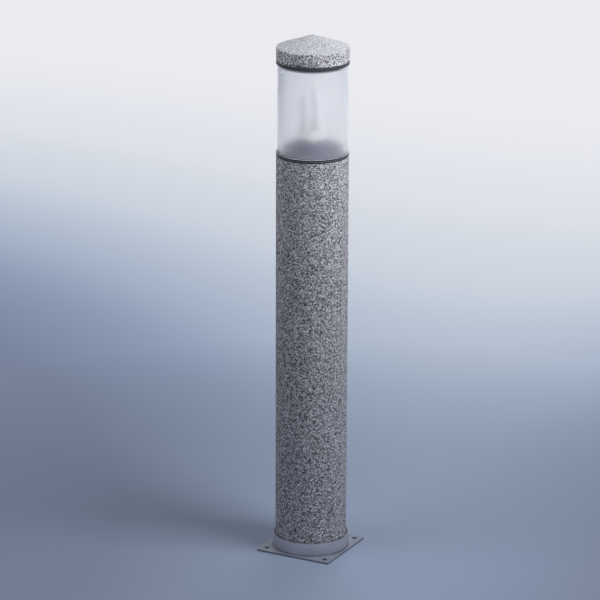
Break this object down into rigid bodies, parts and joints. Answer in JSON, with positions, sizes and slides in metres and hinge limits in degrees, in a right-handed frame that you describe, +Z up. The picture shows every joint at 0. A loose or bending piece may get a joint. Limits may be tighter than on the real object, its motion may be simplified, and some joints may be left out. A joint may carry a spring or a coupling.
{
  "type": "bollard light",
  "caption": "Round stone bollard light with a pointed stone cap, a frosted diffuser between black rings, a plug-in lamp and a square metal foot plate for anchor bolts.",
  "frame": {"origin": "centre of the underside of the foot plate, on the ground", "axes": "+Z up along the axis of the post, X and Y along the sides of the foot plate"},
  "size_m": [0.16, 0.16, 1.05],
  "materials": {
    "stone": "rough salt-and-pepper stone with fine chips",
    "foot_metal": "satin bare metal",
    "zinc_steel": "zinc plated",
    "cast_alloy": "cast alloy, machined on the spigot",
    "black_metal": "black satin powder coat",
    "black_rubber": "matt black rubber",
    "frosted_glass": "frosted, translucent",
    "white_enamel": "white gloss enamel",
    "ivory_plastic": "moulded, ivory",
    "cover_metal": "dark grey satin paint",
    "lamp_glass": "phosphor-coated, opal white",
    "lamp_plastic": "moulded, white",
    "brass": "plain turned brass",
    "ballast_steel": "varnished steel laminations",
    "capacitor_can": "drawn can",
    "lead_sheath": "brown sheath"
  },
  "bodies": {
    "post": {"foot_plate": "foot_metal", "foot_collar": "foot_metal", "foot_gasket": "black_rubber", "collar_seal": "black_rubber", "stone_post": "stone", "tie_rods": "zinc_steel", "rod_foot_nuts": "zinc_steel", "rod_washers": "zinc_steel", "rod_top_nuts": "zinc_steel", "earth_stud": "brass", "earth_nut": "brass", "top_flange": "cast_alloy", "post_gasket": "black_rubber", "gear_tray": "zinc_steel", "tray_screws": "zinc_steel", "ballast": "ballast_steel", "ballast_screws": "zinc_steel", "capacitor": "capacitor_can", "terminal_block": "ivory_plastic", "cable_clamp": "cover_metal", "internal_leads": "lead_sheath", "lampholder": "ivory_plastic", "holder_screws": "zinc_steel", "lampholder_cover": "cover_metal", "cover_ring": "ivory_plastic"},
    "head": {"head_ring": "black_metal", "set_screws": "zinc_steel", "lower_seal": "black_rubber", "diffuser": "frosted_glass", "upper_seal": "black_rubber", "cap_ring": "black_metal", "reflector": "white_enamel", "cap_screws": "zinc_steel", "cap_plate": "foot_metal", "stone_cap": "stone"},
    "lamp": {"lamp_base": "lamp_plastic", "lamp_pins": "brass", "lamp_tubes": "lamp_glass"}
  },
  "joints": [
    {"name": "head_lift", "type": "slide", "parent": "post", "child": "head", "axis": [0, 0, 1], "range_m": [0, 0.16]},
    {"name": "lamp_pull", "type": "slide", "parent": "post", "child": "lamp", "axis": [0, 0, 1], "range_m": [0, 0.028]}
  ]
}
